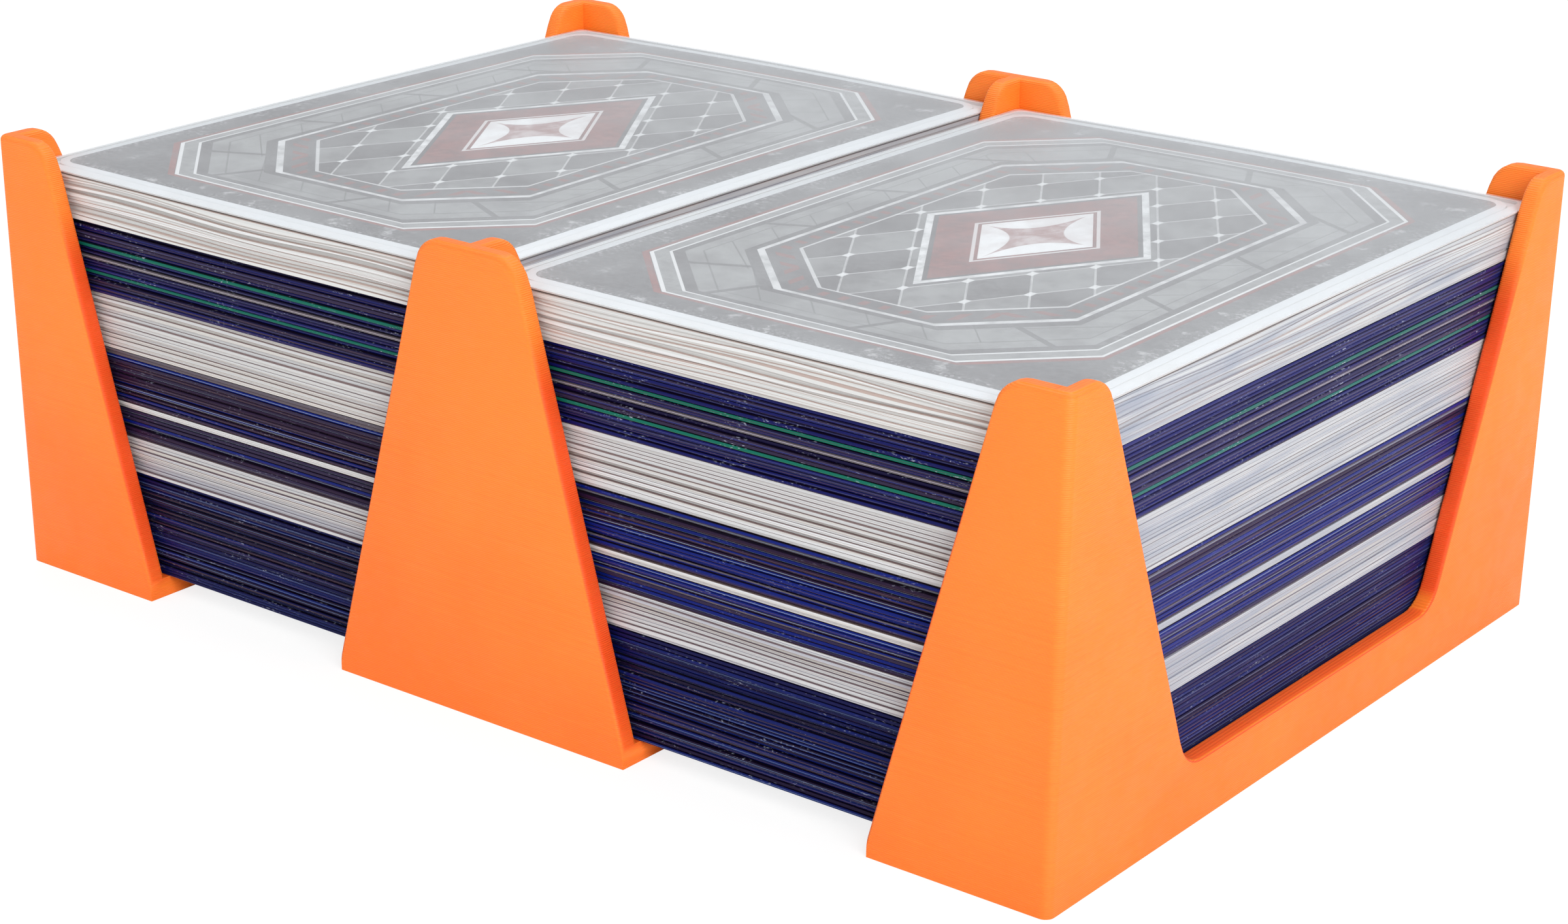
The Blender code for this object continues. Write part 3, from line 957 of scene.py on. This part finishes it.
def make_top_sleeve(side, deck, materials):
    """The top sleeve as two films, joined at their seams round the top card."""
    low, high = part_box(f"{side}_top_sleeve")
    centre = (low + high) / 2
    half_width = (high.x - low.x) / 2
    half_depth = (high.y - low.y) / 2
    half = (high.z - low.z) / 2

    def ring(inset, height):
        points = outline(half_width - inset, half_depth - inset, SLEEVE_CORNER_RADIUS)
        return raised(points, np.full(len(points), height), deck, centre.z)

    def face(inset, height):
        points = outline(half_width - inset, half_depth - inset, SLEEVE_CORNER_RADIUS)
        return face_rings(points, height, deck, centre.z)

    crown = half - FILM
    under = face(SEAM, crown)[::-1] + [
        ring(SEAM, crown),
        ring(SEAM * 0.80, crown * 0.90),
        ring(SEAM * 0.50, crown * 0.45),
        ring(SEAM * 0.25, crown * 0.10),
        ring(0.0, 0.0),
    ]
    over = [
        ring(0.0, FILM),
        ring(SEAM * 0.25, crown * 0.10 + FILM),
        ring(SEAM * 0.50, crown * 0.45 + FILM),
        ring(SEAM * 0.80, crown * 0.90 + FILM),
        ring(SEAM, half),
    ] + face(SEAM, half)
    upper = make_sheet(f"{side}_upper_film", under + over, materials["film"], centre)

    bed = -half + 2 * FILM
    base = face(SEAM, -half)[::-1] + [
        ring(SEAM, -half),
        ring(SEAM_LIP, -half * 0.7),
        ring(SEAM_NIP_LOW, -4 * FILM),
        ring(0.0, -2 * FILM),
        ring(SEAM_NIP_HIGH, -FILM),
        ring(SEAM * 0.25, -FILM * 0.5),
        ring(SEAM * 0.50, crown * 0.45 - FILM),
        ring(SEAM * 0.80, crown * 0.90 - FILM),
        ring(SEAM * 0.93, crown * 0.90 - FILM),
        ring(SEAM * 0.95, bed),
    ] + face(SEAM, bed)
    lower = make_sheet(f"{side}_lower_film", base, materials["film_bed"], centre)
    return upper, lower


def make_top_card(side, deck, material):
    """The printed card in the top sleeve: a thin sheet with round corners."""
    low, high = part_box(f"{side}_top_card")
    centre = (low + high) / 2
    half_width = (high.x - low.x) / 2
    half_depth = (high.y - low.y) / 2
    half = (high.z - low.z) / 2

    def ring(inset, height):
        points = outline(half_width - inset, half_depth - inset, CARD_CORNER_RADIUS)
        return raised(points, np.full(len(points), height), deck, centre.z)

    points = outline(half_width - FILM, half_depth - FILM, CARD_CORNER_RADIUS)
    rings = face_rings(points, -half, deck, centre.z)[::-1] + [
        ring(FILM, -half),
        ring(0.0, -half * 0.7),
        ring(0.0, half * 0.7),
        ring(FILM, half),
    ] + face_rings(points, half, deck, centre.z)
    return make_sheet(f"{side}_printed_card", rings, material, centre)


def body_of(frame, node):
    bodies = frame["record"]["behaviour"]["bodies"]
    return next(body for body, members in bodies.items() if node in members)


def stand_for(frame, piece, node):
    """Makes a piece ride with a CAD node's body and hides the node."""
    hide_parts(node)
    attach(piece, body_of(frame, node))


def make_deck(frame, side, materials):
    """Every run of one deck, then its top card in its sleeve."""
    rng = random.Random(SEEDS[side])
    deck = (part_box(f"{side}_blue_cards")[0].z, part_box(f"{side}_top_sleeve")[1].z)
    for run, finish in RUN_FINISHES.items():
        slot = FINISHES[finish]["slot"]
        back = materials["grey_back"] if slot in ("white", "grey") else materials["blue_back"]
        piece = make_run(side, run, deck, [materials[slot], back], rng)
        stand_for(frame, piece, f"{side}_{run}")
    for film in make_top_sleeve(side, deck, materials):
        stand_for(frame, film, f"{side}_top_sleeve")
    card = make_top_card(side, deck, materials["card"])
    stand_for(frame, card, f"{side}_top_card")


def make_floor():
    """A pale floor that keeps a soft shadow and shows as white."""
    bm = bmesh.new()
    bmesh.ops.create_grid(bm, x_segments=1, y_segments=1, size=FLOOR_SIZE)
    mesh = bpy.data.meshes.new("floor")
    bm.to_mesh(mesh)
    bm.free()
    material = bpy.data.materials.new("floor")
    material.use_nodes = True
    tree = material.node_tree
    tree.nodes.clear()
    out = tree.nodes.new("ShaderNodeOutputMaterial")
    mix = tree.nodes.new("ShaderNodeMixShader")
    add = tree.nodes.new("ShaderNodeAddShader")
    path = tree.nodes.new("ShaderNodeLightPath")
    plain = tree.nodes.new("ShaderNodeBsdfDiffuse")
    plain.inputs["Color"].default_value = FLOOR_WHITE
    shaded = tree.nodes.new("ShaderNodeBsdfDiffuse")
    shaded.inputs["Color"].default_value = FLOOR_SHADED
    glow = tree.nodes.new("ShaderNodeEmission")
    glow.inputs["Color"].default_value = WHITE
    glow.inputs["Strength"].default_value = FLOOR_GLOW
    tree.links.new(shaded.outputs[0], add.inputs[0])
    tree.links.new(glow.outputs[0], add.inputs[1])
    tree.links.new(path.outputs["Is Camera Ray"], mix.inputs[0])
    tree.links.new(plain.outputs[0], mix.inputs[1])
    tree.links.new(add.outputs[0], mix.inputs[2])
    tree.links.new(mix.outputs[0], out.inputs[0])
    add_piece("floor", mesh, [material])


def make_world():
    """Even white light, and a white background for the camera."""
    world = bpy.data.worlds.new("studio")
    bpy.context.scene.world = world
    world.use_nodes = True
    tree = world.node_tree
    background = tree.nodes["Background"]
    path = tree.nodes.new("ShaderNodeLightPath")
    strength = tree.nodes.new("ShaderNodeMapRange")
    tree.links.new(path.outputs["Is Camera Ray"], strength.inputs["Value"])
    strength.inputs["To Min"].default_value = WORLD_LIGHT
    strength.inputs["To Max"].default_value = WORLD_SEEN
    background.inputs["Color"].default_value = WHITE
    tree.links.new(strength.outputs["Result"], background.inputs["Strength"])


def add_softbox(name, position, size, power):
    light = bpy.data.lights.new(name, "AREA")
    light.shape = "SQUARE"
    light.size = size
    light.energy = power
    lamp = bpy.data.objects.new(name, light)
    lamp.location = position
    aim = Vector(LIGHT_TARGET) - Vector(position)
    lamp.rotation_euler = aim.to_track_quat("-Z", "Y").to_euler()
    bpy.context.scene.collection.objects.link(lamp)


def make_lights():
    """Soft boxes: the brightest to the right of the tray, one overhead, a weak one in front."""
    for name, position, size, power in SOFTBOXES:
        add_softbox(name, position, size, power)


def make_camera():
    """The photograph's camera: its place, its direction and its lens."""
    azimuth, elevation = CAMERA_AZIMUTH, CAMERA_ELEVATION
    back = Vector((
        math.sin(azimuth) * math.cos(elevation),
        -math.cos(azimuth) * math.cos(elevation),
        math.sin(elevation),
    ))
    level_right = Vector((math.cos(azimuth), math.sin(azimuth), 0.0))
    level_up = back.cross(level_right)
    right = level_right * math.cos(CAMERA_ROLL) + level_up * math.sin(CAMERA_ROLL)
    up = level_up * math.cos(CAMERA_ROLL) - level_right * math.sin(CAMERA_ROLL)
    lens = bpy.data.cameras.new("photo_camera")
    lens.sensor_width = SENSOR_WIDTH
    lens.lens = FOCAL_PIXELS / PHOTO_WIDTH * SENSOR_WIDTH
    lens.shift_x = (PHOTO_WIDTH / 2 - CENTRE_PIXEL[0]) / PHOTO_WIDTH
    lens.shift_y = (CENTRE_PIXEL[1] - PHOTO_HEIGHT / 2) / PHOTO_WIDTH
    camera = bpy.data.objects.new("photo_camera", lens)
    turn = Matrix((right, up, back)).transposed().to_4x4()
    camera.matrix_world = Matrix.Translation(CAMERA_POSITION) @ turn
    bpy.context.scene.collection.objects.link(camera)
    bpy.context.scene.camera = camera


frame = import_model()

make_camera()
tray = make_tray(frame, orange_plastic(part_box("tray")[1].x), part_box("left_blue_cards")[0].z)
stand_for(frame, tray, "tray")

materials = {
    name: sleeve_edges(f"{name}_edges", finish)
    for name, finish in FINISHES.items()
    if name == finish["slot"]
}
materials["film"] = frosted_film()
materials["film_bed"] = film_bed()
materials["card"] = card_back("card_print", GREY_BACK, 0.0)
materials["grey_back"] = card_back("sleeved_grey_back", GREY_BACK, 0.45)
materials["blue_back"] = card_back("sleeved_blue_back", BLUE_BACK, 0.30)
for side in ("left", "right"):
    make_deck(frame, side, materials)

make_floor()
make_world()
make_lights()

bpy.context.scene.view_settings.view_transform = "Standard"
